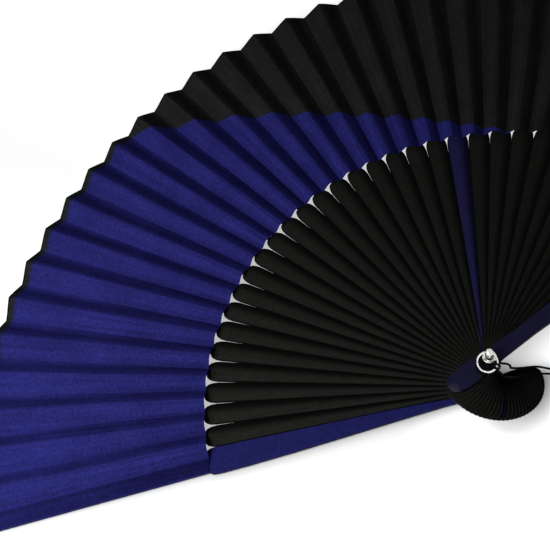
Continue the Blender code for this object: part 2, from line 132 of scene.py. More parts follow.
# Ripples along each panel: radians for each millimetre, and a shift from panel to panel
RIPPLE = 0.10 * MM
RIPPLE_WAVES = ((0.11, 2.1), (0.053, 5.3))
FALLING_SEED = 50
# The cloth hangs hollow above a valley, full below a crest, and falls past the crest a little rounded
SWELL = 0.10 * MM
ROLL = 0.17 * MM
ROLL_BIAS = 0.62
FALLING_SHARES = (0.0, 0.03, 0.07, 0.13, 0.22, 0.35, 0.5, 0.65, 0.82, 1.0)
RISING_SHARES = (0.0, 0.06, 0.14, 0.24, 0.36, 0.48, 0.6)
# Tone in the folds: where a line of the leaf lies between a valley and a crest, less than 0 on falling
# panels, and the places between which each change of tone comes and goes
FOLD_HEIGHTS = {"valley": 0.0, "edge": 0.5, "mountain": 1.0}
FOLD_REACH = (118.0 * MM, 193.0 * MM)
VALLEY_SHADE = 0.30
SHADE_COMES = (-0.85, -0.15)
SHADE_GOES = (0.6, 0.0)
VALLEY_LIGHT = 0.90
LIGHT_COMES = (-0.5, -0.05)
CREST_LIGHT = 0.35
CREST_LIGHT_GOES = (-0.78, -0.95)

# Guards under the cut edges of the leaf
# Painted shade on the thin sides of the guards, and the slopes between which it comes in
GUARD_SIDE_SHADE = 0.12
GUARD_SIDE_SLOPES = (0.2, 0.8)
SHOULDER_RADIUS = 110.65 * MM
GUARD_END_RADIUS = 206.5 * MM
GUARD_STEP_HALF_WIDTH = 4.2 * MM
GUARD_END_HALF_WIDTH = 5.0 * MM
LEAF_SIDE_INSET = 0.4 * MM

# Ribs: half widths at the neck and at the blade's widest place
NECK_RADIUS = 38.0 * MM
NECK_HALF_WIDTH = 2.35 * MM
BLADE_RADIUS = 105.5 * MM
BLADE_HALF_WIDTH = 4.35 * MM
HEAD_RADII = (6.0 * MM, 14.0 * MM)
HEAD_LINE = (-0.5 * MM, 2.0 * MM)
# Painted falloff of light: each rib is painted a little darker than the one before it
PAINTED_FALLOFF_PER_RIB = 0.018
# Painted shade over a rib's bare width: dark at its own edge, sloping over its face, dark towards the next
# rib
PAINTED_FIRST_EDGE_SHARES = (0.0, 0.10)
PAINTED_NEXT_EDGE_SHARES = (0.42, 0.90)
PAINTED_FIRST_EDGE_SHADE = 0.12
PAINTED_NEXT_EDGE_SHADE = 0.15
PAINTED_FACE_SHADES = (1.1, 0.9)
RIB_BEVEL = 0.05 * MM
GUARD_BEVEL = 0.12 * MM
BEVEL_ANGLE = math.radians(50.0)

# Dye: the flat leaf is blue inside an arc and black past it, with a black rim
# The flat cut spans this many times the angle that the pleated leaf spans
FLAT_TURN = 1.153
DYE_CENTRE = Vector((-141.5, -87.0, 0.0)) * MM
DYE_RADIUS = 270.0 * MM
DYE_BLEED = 0.5 * MM
DYE_SCALE = 420.0
RIM_WIDTH = 4.6 * MM
RIM_DARK_WIDTH = 1.9 * MM
RIM_EDGE = 0.5 * MM
RIM_EDGE_TONE = 0.25

# Silk: scales of its noises for each metre, and how far each one spreads the tone
ACROSS_THREAD = 1900.0
ALONG_THREAD = 150.0
RAY_SCALES = (95.0, 14.0, 1.0)
CLOUD_SCALE = 60.0
MOTTLE_SCALE = 800.0
WARP_SPREAD = 0.35
WEFT_SPREAD = 0.30
MOTTLE_SPREAD = 0.60
CLOUD_SPREAD = 0.30
RAY_SPREAD = 0.40
THREAD_PITCH = 0.32 * MM
THREAD_HEIGHT = 0.06 * MM
THREAD_SHARE = 0.35

# Grain of the sticks: its length along and across them, and the wear at their tips
FIBRE = (14.0 * MM, 0.22 * MM)
BAND = (45.0 * MM, 1.6 * MM)
GRAIN_RADIUS = 70.0 * MM
FIBRE_HEIGHT = 0.03 * MM
FIBRE_ROUGHNESS = 0.08
TIP_WEAR_RADII = (60.0 * MM, 112.0 * MM)
TIP_WEAR_SCALE = 900.0
TIP_WEAR_PATCHES = (0.5, 0.72)
TIP_WEAR_SHARE = 0.35
STICK_MOTTLE_SPREAD = 0.55

# Marks on the front guard: a darker spot under the ring, and a painted highlight at the end of its tail
DARK_SPOT_PLACE = (-1.6 * MM, -2.9 * MM, 27.7 * MM)
DARK_SPOT_RADIUS = 4.2 * MM
DARK_SPOT_SOFTNESS = 1.5 * MM
DARK_SPOT_WANDER = 1.0 * MM
DARK_SPOT_SCALE = 500.0
DARK_SPOT_TONE = 0.08
TAIL_HIGHLIGHT_PLACE = (-17.4 * MM, -5.4 * MM, 27.7 * MM)
TAIL_HIGHLIGHT_REACH = (4.2 * MM, 0.5 * MM)
TAIL_HIGHLIGHT_WANDER = 1.2 * MM
TAIL_HIGHLIGHT_SCALE = 700.0
TAIL_HIGHLIGHT_SHARE = 0.4

# Finish of the wire and the yarn
SCRATCH_SCALES = (2600.0, 2600.0, 9000.0)
SCRATCH_HEIGHT = 0.01 * MM
SCRATCH_ROUGHNESS = (0.08, 0.24)
POLISH_SCALE = 700.0
POLISH_SPREAD = 0.05
YARN_SCALES = (5200.0, 9.0, 1.0)
YARN_HEIGHT = 0.03 * MM
YARN_SPREAD = 0.45

# Rivet, ring and cord
KNOB_CENTRE = 31.7 * MM
KNOB_RADIUS = 1.6 * MM
EYE_RADIUS = 0.8 * MM
FRONT_GUARD_TOP = 27.7 * MM
GAP = 0.3 * MM
RING_RADIUS = 3.5 * MM
WIRE_RADIUS = 0.36 * MM
RING_BOW = (KNOB_RADIUS ** 2 - EYE_RADIUS ** 2) / (2 * RING_RADIUS)
RING_REACH = RING_RADIUS - RING_BOW / 2
RING_DIRECTION = math.radians(-133.0)
RING_DIP = math.asin((KNOB_CENTRE - WIRE_RADIUS - GAP - FRONT_GUARD_TOP) / (RING_REACH + RING_RADIUS))
CORD_RADIUS = 0.4 * MM
CORD_STEP = 0.2 * MM
CORD_SIDES = 16
BRAID_TURN = 2.4 * MM
BRAID_SHARE = 0.09
BRAID_YARNS = 4
ROUND_END_SHARE = 0.35
CURVE_PIECES = 24
HITCH_ANGLE = math.radians(-100.0)
HITCH_CLEARANCE = 0.35 * MM
HITCH_RADIUS = WIRE_RADIUS + HITCH_CLEARANCE + CORD_RADIUS
HITCH_SPREAD = 1.1 * MM
HITCH_REACH = 2.0 * MM
HITCH_END_SHARE = -0.62
# The hitch, as shares of its spread along the wire, then of its radius outward and upward
HITCH_SHARES = (
    (-1.0, 1.35, -0.64), (-1.0, 0.66, -0.86), (-0.95, 0.0, -1.0), (-0.88, -0.72, -0.72),
    (-0.82, -1.0, 0.0), (-0.74, -0.70, 0.74), (-0.66, 0.0, 1.02), (-0.50, 0.66, 0.86),
    (-0.26, 0.98, 0.60), (0.0, 1.06, 0.50),
)
# The strands' routes in millimetres, from the hitch to the knot
UPPER_ROUTE = (
    (3.11, -5.47, 29.9), (3.85, -6.03, 29.7), (4.5, -6.3, 28.3), (4.9, -5.9, 26.0), (5.5, -4.8, 22.8),
    (6.7, -3.5, 19.0), (8.5, -2.4, 14.8), (10.6, -1.6, 11.2), (12.8, -1.2, 8.4), (15.0, -1.1, 6.5),
    (17.1, -1.4, 5.4), (19.0, -2.1, 4.7), (20.9, -3.0, 3.6), (23.2, -4.1, 2.2), (26.2, -5.2, 1.0),
    (30.4, -6.4, 0.5), (36.0, -7.9, 0.45), (43.0, -10.5, 0.45), (50.0, -14.9, 0.45),
    (56.0, -20.8, 0.45), (60.6, -27.2, 0.5), (63.1, -32.2, 0.8), (63.8, -35.0, 1.15),
)
LOWER_ROUTE = (
    (0.37, -7.24, 28.12), (0.75, -8.1, 27.85), (1.6, -8.7, 26.8), (2.7, -8.3, 24.6), (3.8, -7.1, 20.9),
    (5.1, -6.2, 17.5), (6.9, -5.4, 14.4), (9.2, -4.9, 11.7), (12.0, -4.8, 9.3), (14.7, -5.1, 7.6),
    (17.2, -5.4, 6.4), (19.6, -5.7, 4.9), (22.0, -6.4, 3.3), (24.6, -7.6, 1.8), (27.8, -9.4, 0.8),
    (32.4, -12.2, 0.45), (38.0, -16.0, 0.45), (44.0, -20.8, 0.45), (50.0, -26.4, 0.45),
    (55.6, -31.6, 0.5), (59.8, -35.2, 0.8), (62.0, -36.6, 1.15),
)
KNOT_CENTRE = Vector((64.0, -37.0, 1.25)) * MM
KNOT_SPREAD = 0.46 * MM
KNOT_RISE = 0.72 * MM
KNOT_STEPS = 120
TAIL_LENGTH = 5.0 * MM
TAIL_DIRECTIONS = (math.radians(-35.0), math.radians(-75.0))
TAIL_FLOOR_GAP = 0.05 * MM
# Each tail's route, as shares of its length and of its way down to the floor
TAIL_SHARES = ((0.1, 0.2), (0.35, 0.75), (0.7, 1.0), (1.1, 1.0))

# Colours, linear
SILK_BLUE = (0.0228, 0.0236, 0.163)
SILK_BLACK = (0.0190, 0.0200, 0.0190)
GLUED_SHADE = 0.62
RIB_BLACK = (0.0185, 0.0200, 0.0172)
RIB_BLACK_WORN = (0.040, 0.042, 0.034)
RIB_BLACK_HEAD_SHADE = 0.70
RIB_BLUE = (0.029, 0.027, 0.118)
RIB_BLUE_WORN = (0.02, 0.02, 0.12)
RIB_BLUE_HEAD_SHADE = 0.15
GUARD_BLUE = (0.016, 0.017, 0.118)
GUARD_BLUE_WORN = (0.02, 0.02, 0.15)
FRONT_GUARD_BLUE = (0.0105, 0.0090, 0.0330)
FRONT_GUARD_WORN = (0.03, 0.03, 0.07)
# Pale grey of the painted highlight at the end of the front guard's tail
HIGHLIGHT_GREY = (0.085, 0.085, 0.095)
FLOOR_WHITE = (0.90, 0.90, 0.90)
CORD_BLACK = (0.0050, 0.0050, 0.0055)
STEEL = (0.64, 0.64, 0.61)


# Places of the sticks

def even_angle(index):
    if index == 0:
        return REAR_ANGLE
    return REAR_ANGLE - (index * RIB_STEP - REAR_LEAD)


def stick_angle(index):
    """Inner ribs lie a little past their even places, towards the front guard."""
    if index in (0, LAST_STICK):
        return even_angle(index)
    return even_angle(index) - RIB_LAG


def stick_body(index):
    if index == 0:
        return "rear_guard"
    if index == LAST_STICK:
        return "front_guard"
    return "rib_%02d" % index


# Nodes

def join(tree, value, socket):
    if isinstance(value, bpy.types.NodeSocket):
        tree.links.new(value, socket)
    else:
        socket.default_value = value


def object_place(tree):
    return tree.nodes.new("ShaderNodeTexCoord").outputs["Object"]


def uv_place(tree, name):
    node = tree.nodes.new("ShaderNodeUVMap")
    node.uv_map = name
    return node.outputs[0]


def split_vector(tree, vector):
    node = tree.nodes.new("ShaderNodeSeparateXYZ")
    tree.links.new(vector, node.inputs[0])
    return node.outputs[0], node.outputs[1], node.outputs[2]


def vector_of(tree, *values):
    node = tree.nodes.new("ShaderNodeCombineXYZ")
    for value, socket in zip(values, node.inputs):
        join(tree, value, socket)
    return node.outputs[0]


def maths(tree, operation, *values):
    node = tree.nodes.new("ShaderNodeMath")
    node.operation = operation
    for value, socket in zip(values, node.inputs):
        join(tree, value, socket)
    return node.outputs[0]


def vector_maths(tree, operation, *values):
    node = tree.nodes.new("ShaderNodeVectorMath")
    node.operation = operation
    for value, socket in zip(values, node.inputs):
        join(tree, value, socket)
    return node.outputs["Value" if operation in ("LENGTH", "DISTANCE", "DOT_PRODUCT") else "Vector"]


def scaled(tree, vector, factor):
    node = tree.nodes.new("ShaderNodeVectorMath")
    node.operation = "SCALE"
    join(tree, vector, node.inputs[0])
    join(tree, factor, node.inputs["Scale"])
    return node.outputs["Vector"]


def step_between(tree, value, low, high):
    node = tree.nodes.new("ShaderNodeMapRange")
    node.interpolation_type = "SMOOTHSTEP"
    for socket, given in zip(node.inputs, (value, low, high)):
        join(tree, given, socket)
    return node.outputs[0]


def noise(tree, vector, scale, detail=2.0, roughness=0.5):
    node = tree.nodes.new("ShaderNodeTexNoise")
    join(tree, vector, node.inputs["Vector"])
    node.inputs["Scale"].default_value = scale
    node.inputs["Detail"].default_value = detail
    node.inputs["Roughness"].default_value = roughness
    return node.outputs[0]


def stretched_noise(tree, vector, scales):
    """Noise with a scale of its own along each axis."""
    return noise(tree, vector_maths(tree, "MULTIPLY", vector, scales), 1.0, detail=3.0)


def blended(tree, share, first, second):
    node = tree.nodes.new("ShaderNodeMix")
    node.data_type = "RGBA"
    join(tree, share, node.inputs[0])
    join(tree, first, node.inputs[6])
    join(tree, second, node.inputs[7])
    return node.outputs[2]


def around(tree, value, spread):
    """A noise value turned into a factor that lies evenly to both sides of 1."""
    return maths(tree, "MULTIPLY_ADD", value, 2 * spread, 1 - spread)


def between(tree, share, start, end):
    """Goes evenly from start to end as the share goes from 0 to 1."""
    return maths(tree, "MULTIPLY_ADD", share, end - start, start)


def uneven(tree, distance, place, scale, wander):
    """A distance that wanders to both sides, for a ragged edge."""
    shift = between(tree, noise(tree, place, scale, detail=3.0), -wander, wander)
    return maths(tree, "ADD", distance, shift)


def bumped(tree, shader, height, distance, strength):
    node = tree.nodes.new("ShaderNodeBump")
    node.inputs["Distance"].default_value = distance
    node.inputs["Strength"].default_value = strength
    join(tree, height, node.inputs["Height"])
    tree.links.new(node.outputs[0], shader.inputs["Normal"])


# Materials

def new_material(name, roughness, specular, metallic=0.0):
    material = bpy.data.materials.new(name)
    material.use_nodes = True
    shader = material.node_tree.nodes["Principled BSDF"]
    shader.inputs["Roughness"].default_value = roughness
    shader.inputs["Specular IOR Level"].default_value = specular
    shader.inputs["Metallic"].default_value = metallic
    return material, material.node_tree, shader


def dyed(tree, flat, radius):
    """Blue inside an arc, black past it and along the rim."""
    from_centre = vector_maths(tree, "DISTANCE", flat, DYE_CENTRE)
    past = maths(tree, "SUBTRACT", uneven(tree, from_centre, flat, DYE_SCALE, DYE_BLEED), DYE_RADIUS)
    past = step_between(tree, past, -DYE_BLEED / 2, DYE_BLEED / 2)
    ragged = uneven(tree, radius, flat, DYE_SCALE, DYE_BLEED)
    rim = step_between(tree, ragged, LEAF_OUTER_RADIUS - RIM_WIDTH, LEAF_OUTER_RADIUS - RIM_DARK_WIDTH)
    return blended(tree, maths(tree, "MAXIMUM", past, rim), (*SILK_BLUE, 1.0), (*SILK_BLACK, 1.0))


def lit_in_folds(tree, colour, valley_light):
    """A valley is shaded at its inner end; further out the cloth falls into it rounded and catches light."""
    height, radius, _ = split_vector(tree, uv_place(tree, "fold_place"))
    along = step_between(tree, radius, *FOLD_REACH)
    shade_comes, shade_goes, light_comes, crest = (
        step_between(tree, height, *places)
        for places in (SHADE_COMES, SHADE_GOES, LIGHT_COMES, CREST_LIGHT_GOES))
    deep = maths(tree, "MULTIPLY", shade_comes, shade_goes)
    opened = maths(tree, "MULTIPLY", light_comes, maths(tree, "LESS_THAN", height, 0.0))
    shade = maths(tree, "MULTIPLY", deep, between(tree, along, -VALLEY_SHADE, 0.0))
    light = maths(tree, "MULTIPLY", opened, maths(tree, "MULTIPLY", along, valley_light))
    crest_tone = maths(tree, "MULTIPLY_ADD", crest, CREST_LIGHT, 1.0)
    return scaled(tree, colour, maths(tree, "ADD", maths(tree, "ADD", shade, light), crest_tone))


def silk_material(name, shade, valley_light):
    """Plain weave in the directions of the flat cut, dyed blue and black."""
    material, tree, shader = new_material(name, roughness=0.82, specular=0.0)
    flat = uv_place(tree, "flat_cut")
    radius = vector_maths(tree, "LENGTH", flat)
    colour = scaled(tree, dyed(tree, flat, radius), shade)

    warp = stretched_noise(tree, flat, (ACROSS_THREAD, ALONG_THREAD, 1.0))
    weft = stretched_noise(tree, flat, (ALONG_THREAD, ACROSS_THREAD, 1.0))
    cloud = noise(tree, flat, CLOUD_SCALE, detail=3.0)
    mottle = noise(tree, flat, MOTTLE_SCALE, roughness=0.7)
    x, y, _ = split_vector(tree, flat)
    turned = vector_of(tree, maths(tree, "ARCTAN2", x, y), radius)
    rays = stretched_noise(tree, turned, RAY_SCALES)
    for value, spread in (
            (warp, WARP_SPREAD), (weft, WEFT_SPREAD), (mottle, MOTTLE_SPREAD),
            (cloud, CLOUD_SPREAD), (rays, RAY_SPREAD)):
        colour = scaled(tree, colour, around(tree, value, spread))
    colour = lit_in_folds(tree, colour, valley_light)
    edge_start = LEAF_OUTER_RADIUS - RIM_EDGE
    edge = step_between(tree, radius, edge_start - RIM_EDGE / 2, edge_start)
    colour = scaled(tree, colour, between(tree, edge, 1.0, RIM_EDGE_TONE))
    tree.links.new(colour, shader.inputs["Base Color"])

    threads = vector_maths(tree, "SINE", scaled(tree, flat, 2 * math.pi / THREAD_PITCH))
    thread_x, thread_y, _ = split_vector(tree, threads)
    weave = maths(tree, "MULTIPLY", thread_x, thread_y)
    height = maths(tree, "MULTIPLY_ADD", weave, THREAD_SHARE, maths(tree, "ADD", warp, weft))
    bumped(tree, shader, height, THREAD_HEIGHT, strength=0.6)
    return material


def flat_radius(tree):
    """Distance from the rivet's axis."""
    return vector_maths(tree, "LENGTH", vector_maths(tree, "MULTIPLY", object_place(tree), (1.0, 1.0, 0.0)))


def grain(tree, along, across):
    """Place on a stick as (radius, arc) over the lengths that the grain has along and across it."""
    x, y, z = split_vector(tree, object_place(tree))
    lengthwise = maths(tree, "DIVIDE", flat_radius(tree), along)
    arc = maths(tree, "MULTIPLY", maths(tree, "ARCTAN2", y, x), GRAIN_RADIUS / across)
    return vector_of(tree, lengthwise, arc, maths(tree, "DIVIDE", z, along))


def stick_material(name, colour, worn, roughness, specular, spread):
    """Dyed bamboo: fine fibres along the stick, with its colour rubbed a little at the tips."""
    material, tree, shader = new_material(name, roughness, specular)
    fibres = noise(tree, grain(tree, *FIBRE), 1.0, detail=4.0, roughness=0.6)
    bands = noise(tree, grain(tree, *BAND), 1.0)
    place = object_place(tree)
    patches = noise(tree, place, TIP_WEAR_SCALE, detail=4.0, roughness=0.7)
    near_tip = step_between(tree, flat_radius(tree), *TIP_WEAR_RADII)
    share = maths(tree, "MULTIPLY", step_between(tree, patches, *TIP_WEAR_PATCHES), near_tip)
    base = blended(tree, maths(tree, "MULTIPLY", share, TIP_WEAR_SHARE), (*colour, 1.0), (*worn, 1.0))
    mottle = noise(tree, place, MOTTLE_SCALE, roughness=0.7)
    for value, amount in ((fibres, spread), (bands, spread / 2), (mottle, STICK_MOTTLE_SPREAD)):
        base = scaled(tree, base, around(tree, value, amount))
    tree.links.new(base, shader.inputs["Base Color"])
    rough = between(tree, fibres, roughness - FIBRE_ROUGHNESS, roughness + FIBRE_ROUGHNESS)
    tree.links.new(rough, shader.inputs["Roughness"])
    bumped(tree, shader, fibres, FIBRE_HEIGHT, strength=0.5)
    return material


def recolour(material, change):
    """Passes the material's colour through one more change, which is given the tree and the colour."""
    tree = material.node_tree
    socket = tree.nodes["Principled BSDF"].inputs["Base Color"]
    tree.links.new(change(tree, socket.links[0].from_socket), socket)


def rib_steps(tree):
    """Ribs counted from the rear guard: whole at a rib's own edge, a whole more at the next one's."""
    x, y, _ = split_vector(tree, object_place(tree))
    radius = flat_radius(tree)
    slope = (BLADE_HALF_WIDTH - NECK_HALF_WIDTH) / (BLADE_RADIUS - NECK_RADIUS)
    half = maths(tree, "MULTIPLY_ADD", radius, slope, NECK_HALF_WIDTH - slope * NECK_RADIUS)
    width = maths(tree, "MULTIPLY", radius, RIB_STEP)
    turn = maths(tree, "ARCTAN2", y, x)
    steps = maths(tree, "MULTIPLY_ADD", turn, -1 / RIB_STEP, (REAR_ANGLE + REAR_LEAD - RIB_LAG) / RIB_STEP)
    return maths(tree, "ADD", steps, maths(tree, "DIVIDE", half, width))


def painted_rib_shade(tree, colour, head_shade):
    """Painted shade: darker at both edges of a blade as if its face curved down, and darker from rib to rib;
    heads are even.
    """
    steps = rib_steps(tree)
    across = maths(tree, "FRACT", steps)
    # Painted shade across the blade, standing in for a rounded face: dark at its own edge and towards the
    # next rib
    shade_at_own_edge = between(tree, step_between(tree, across, *PAINTED_FIRST_EDGE_SHARES), PAINTED_FIRST_EDGE_SHADE, 1.0)
    turned = between(tree, step_between(tree, across, *PAINTED_NEXT_EDGE_SHARES), 1.0, PAINTED_NEXT_EDGE_SHADE)
    # Painted falloff of light, darker from rib to rib
    painted_falloff = maths(tree, "MULTIPLY_ADD", steps, -PAINTED_FALLOFF_PER_RIB, 1.0)
    shade = between(tree, across, *PAINTED_FACE_SHADES)
    for tone in (shade_at_own_edge, turned, painted_falloff):
        shade = maths(tree, "MULTIPLY", shade, tone)
    _, y, _ = split_vector(tree, object_place(tree))
    past_line = step_between(tree, y, *HEAD_LINE)
    on_blade = maths(tree, "MULTIPLY", past_line, step_between(tree, flat_radius(tree), *HEAD_RADII))
    mix = maths(tree, "MULTIPLY_ADD", on_blade, maths(tree, "SUBTRACT", shade, head_shade), head_shade)
    return scaled(tree, colour, mix)


def painted_side_shade(tree, colour):
    """Painted shade: the thin sides of a guard are painted nearly black."""
    _, _, up = split_vector(tree, tree.nodes.new("ShaderNodeTexCoord").outputs["Normal"])
    face = step_between(tree, maths(tree, "ABSOLUTE", up), *GUARD_SIDE_SLOPES)
    return scaled(tree, colour, between(tree, face, GUARD_SIDE_SHADE, 1.0))


def darker_near_ring(tree, colour):
    """The lacquer is darker, nearly black, in a ragged spot under the ring."""
    place = object_place(tree)
    distance = vector_maths(tree, "DISTANCE", place, DARK_SPOT_PLACE)
    away = uneven(tree, distance, place, DARK_SPOT_SCALE, DARK_SPOT_WANDER)
    clear = step_between(tree, away, DARK_SPOT_RADIUS, DARK_SPOT_RADIUS + DARK_SPOT_SOFTNESS)
    return scaled(tree, colour, between(tree, clear, DARK_SPOT_TONE, 1.0))


def painted_tail_highlight(tree, colour):
    """Painted highlight: the end of the front guard's tail is painted pale grey."""
    place = object_place(tree)
    distance = vector_maths(tree, "DISTANCE", place, TAIL_HIGHLIGHT_PLACE)
    away = uneven(tree, distance, place, TAIL_HIGHLIGHT_SCALE, TAIL_HIGHLIGHT_WANDER)
    share = step_between(tree, away, *TAIL_HIGHLIGHT_REACH)
    return blended(tree, maths(tree, "MULTIPLY", share, TAIL_HIGHLIGHT_SHARE), colour, (*HIGHLIGHT_GREY, 1.0))


def steel_material():
    """Polished wire and turned beads, with fine scratches."""
    material, tree, shader = new_material("polished_wire", roughness=0.16, specular=0.5, metallic=1.0)
    place = object_place(tree)
    scratches = stretched_noise(tree, place, SCRATCH_SCALES)
    polish = noise(tree, place, POLISH_SCALE)
    colour = scaled(tree, STEEL, around(tree, polish, POLISH_SPREAD))
    tree.links.new(colour, shader.inputs["Base Color"])
    tree.links.new(between(tree, scratches, *SCRATCH_ROUGHNESS), shader.inputs["Roughness"])
    bumped(tree, shader, scratches, SCRATCH_HEIGHT, strength=0.15)
    return material


def cord_material():
    """Matte braided yarn; the braid itself is in the mesh."""
    material, tree, shader = new_material("braided_yarn", roughness=0.78, specular=0.02)
    fibres = stretched_noise(tree, uv_place(tree, "along_cord"), YARN_SCALES)
    colour = scaled(tree, CORD_BLACK, around(tree, fibres, YARN_SPREAD))
    tree.links.new(colour, shader.inputs["Base Color"])
    bumped(tree, shader, fibres, YARN_HEIGHT, strength=0.6)
    return material


# Meshes

def add_uvs(mesh, name, uvs):
    layer = mesh.uv_layers.new(name=name)
    for loop in mesh.loops:
        layer.data[loop.index].uv = uvs[loop.vertex_index]


def mesh_object(name, corners, faces, material, uvs, uv_name):
    mesh = bpy.data.meshes.new(name)
    mesh.from_pydata([tuple(corner) for corner in corners], [], faces)
    add_uvs(mesh, uv_name, uvs)
    mesh.materials.append(material)
    mesh.shade_smooth()
    item = bpy.data.objects.new(name, mesh)
    bpy.context.scene.collection.objects.link(item)
    return item


# Cord

def through(route, step):
    """Evenly spaced points on one smooth curve through a route's own points."""
    points = [2 * route[0] - route[1]] + list(route) + [2 * route[-1] - route[-2]]
    fine = []
    for i in range(1, len(points) - 2):
        before, start, end, after = points[i - 1:i + 3]
        for j in range(CURVE_PIECES):
            t = j / CURVE_PIECES
            bend = t * (2 * before - 5 * start + 4 * end - after + t * (3 * (start - end) + after - before))
            fine.append(start + 0.5 * t * (end - before + bend))
    fine.append(points[-2])
    lengths = [0.0]
    for a, b in zip(fine, fine[1:]):
        lengths.append(lengths[-1] + (b - a).length)
    count = max(2, round(lengths[-1] / step))
    wanted = np.linspace(0.0, lengths[-1], count + 1)
    columns = [np.interp(wanted, lengths, [point[axis] for point in fine]) for axis in range(3)]
    return [Vector(point) for point in zip(*columns)], lengths[-1]


def tangents_along(points, closed):
    count = len(points)
    tangents = []
    for i in range(count):
        if closed:
            ahead, behind = points[(i + 1) % count], points[i - 1]
        else:
            ahead, behind = points[min(i + 1, count - 1)], points[max(i - 1, 0)]
        tangents.append((ahead - behind).normalized())
    return tangents


def tube(name, points, material, closed=False):
    """Cord along points, with rounded ends and the ridges of its braid."""
    count = len(points)
    tangents = tangents_along(points, closed)
    side = tangents[0].orthogonal().normalized()
    place = 0.0
    corners, uvs = [], []
    for i, (point, tangent) in enumerate(zip(points, tangents)):
        side = (side - tangent * side.dot(tangent)).normalized()
        other = tangent.cross(side)
        if i:
            place += (point - points[i - 1]).length
        to_end = min(i, count - 1 - i)
        round_end = min(1.0, ROUND_END_SHARE + (1 - ROUND_END_SHARE) * math.sqrt(to_end / 2))
        radius = CORD_RADIUS if closed else CORD_RADIUS * round_end
        wound = 2 * math.pi * place / BRAID_TURN
        for j in range(CORD_SIDES):
            turn = 2 * math.pi * j / CORD_SIDES
            ridge = math.cos(BRAID_YARNS * (turn + wound)) * math.cos(BRAID_YARNS * (turn - wound))
            reach = radius * (1 + BRAID_SHARE * ridge)
            corners.append(point + (side * math.cos(turn) + other * math.sin(turn)) * reach)
            uvs.append((place, j / CORD_SIDES))
    faces = []
    for i in range(count if closed else count - 1):
        near, far = i * CORD_SIDES, (i + 1) % count * CORD_SIDES
        for j in range(CORD_SIDES):
            k = (j + 1) % CORD_SIDES
            faces.append((near + j, near + k, far + k, far + j))
    if not closed:
        faces.append(tuple(reversed(range(CORD_SIDES))))
        faces.append(tuple(range((count - 1) * CORD_SIDES, count * CORD_SIDES)))
    return mesh_object(name, corners, faces, material, uvs, "along_cord")


def ring_frame():
    """Ring's own frame: origin in the knob's eye, X towards its far side, Z along its normal."""
    turn = Matrix.Rotation(RING_DIRECTION, 4, "Z") @ Matrix.Rotation(RING_DIP, 4, "Y")
    return Matrix.Translation((0, 0, KNOB_CENTRE)) @ turn


def hitch_side(sign):
    """Half of the hitch, from the middle of the bight over the wire to its end on one side."""
    middle = Vector((RING_REACH, 0, 0))
    upward = Vector((0, 0, 1))
    half = [(-1.0, HITCH_REACH / HITCH_RADIUS, HITCH_END_SHARE)] + list(HITCH_SHARES)
    route = []
    for share, out, up in reversed(half):
        angle = HITCH_ANGLE - sign * share * HITCH_SPREAD / RING_RADIUS
        wire = middle + Vector((-math.cos(angle), -math.sin(angle), 0)) * RING_RADIUS
        outward = (wire - middle).normalized()
        route.append(ring_frame() @ (wire + (outward * out + upward * up) * HITCH_RADIUS))
    return route


def knot_points():
    """Closed trefoil, pulled tight."""
    points = []
    for i in range(KNOT_STEPS):
        t = 2 * math.pi * i / KNOT_STEPS
        x = math.sin(t) + 2 * math.sin(2 * t)
        y = math.cos(t) - 2 * math.cos(2 * t)
        points.append(KNOT_CENTRE + Vector((x * KNOT_SPREAD, y * KNOT_SPREAD, -math.sin(3 * t) * KNOT_RISE)))
    return points


def add_tails(material):
    """The two ends of the cord that come out of the knot."""
    low = KNOT_CENTRE.z - CORD_RADIUS - TAIL_FLOOR_GAP
    tails = []
    for number, angle in enumerate(TAIL_DIRECTIONS, 1):
        out = Vector((math.cos(angle), math.sin(angle), 0))
        route = [
            KNOT_CENTRE + out * share * TAIL_LENGTH - Vector((0, 0, low * drop))
            for share, drop in TAIL_SHARES]
        points, _ = through(route, CORD_STEP)
        tail = tube("cord_tail_%d" % number, points, material)
        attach(tail, "front_guard")
        tails.append(tail)
    return tails


def add_cord(material):
    knot = tube("knot_of_cord", knot_points(), material, closed=True)
    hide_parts("cord_knot")
    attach(knot, "front_guard")
    tails = add_tails(material)
    strands = (
        ("upper_strand", 1, UPPER_ROUTE, ("cord_upper_strand", "cord_hitch")),
        ("lower_strand", -1, LOWER_ROUTE, ("cord_lower_strand",)),
    )
    for name, sign, route, nodes in strands:
        whole = hitch_side(sign) + [Vector(point) * MM for point in route] + [KNOT_CENTRE]
        points, length = through(whole, CORD_STEP)
        strand = tube(name, points, material)
        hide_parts(*nodes)
        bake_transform(strand)


# Leaf

def flat_place(angle, radius):
    """Where a point of the leaf lies in the flat cut, before it was pleated."""
    turn = FLAT_TURN * (angle - math.pi / 2)
    return (-radius * math.sin(turn), radius * math.cos(turn))


def valley_height(index, radius):
    rise = (LEAF_HIGH - LEAF_LOW - PLEAT_SLOPE * radius) / INNER_RIBS
    return LEAF_LOW + (index - 1) * rise


def guard_half_width(radius):
    share = (radius - SHOULDER_RADIUS) / (GUARD_END_RADIUS - SHOULDER_RADIUS)
    return GUARD_STEP_HALF_WIDTH + (GUARD_END_HALF_WIDTH - GUARD_STEP_HALF_WIDTH) * share


def crease_angle(kind, index):
    """Where a crease lies, and how far it leans from its even place."""
    angle = even_angle(index) + MOUNTAIN_ANGLE
    if kind == "valley":
        angle += PANEL_ANGLE
    share = min(1.0, max(0.0, (angle - LEAN_FROM) / (LEAN_TO - LEAN_FROM)))
    lean = FRONT_LEAN + (REAR_LEAN - FRONT_LEAN) * share * share * (3 - 2 * share)
    return angle + lean, lean


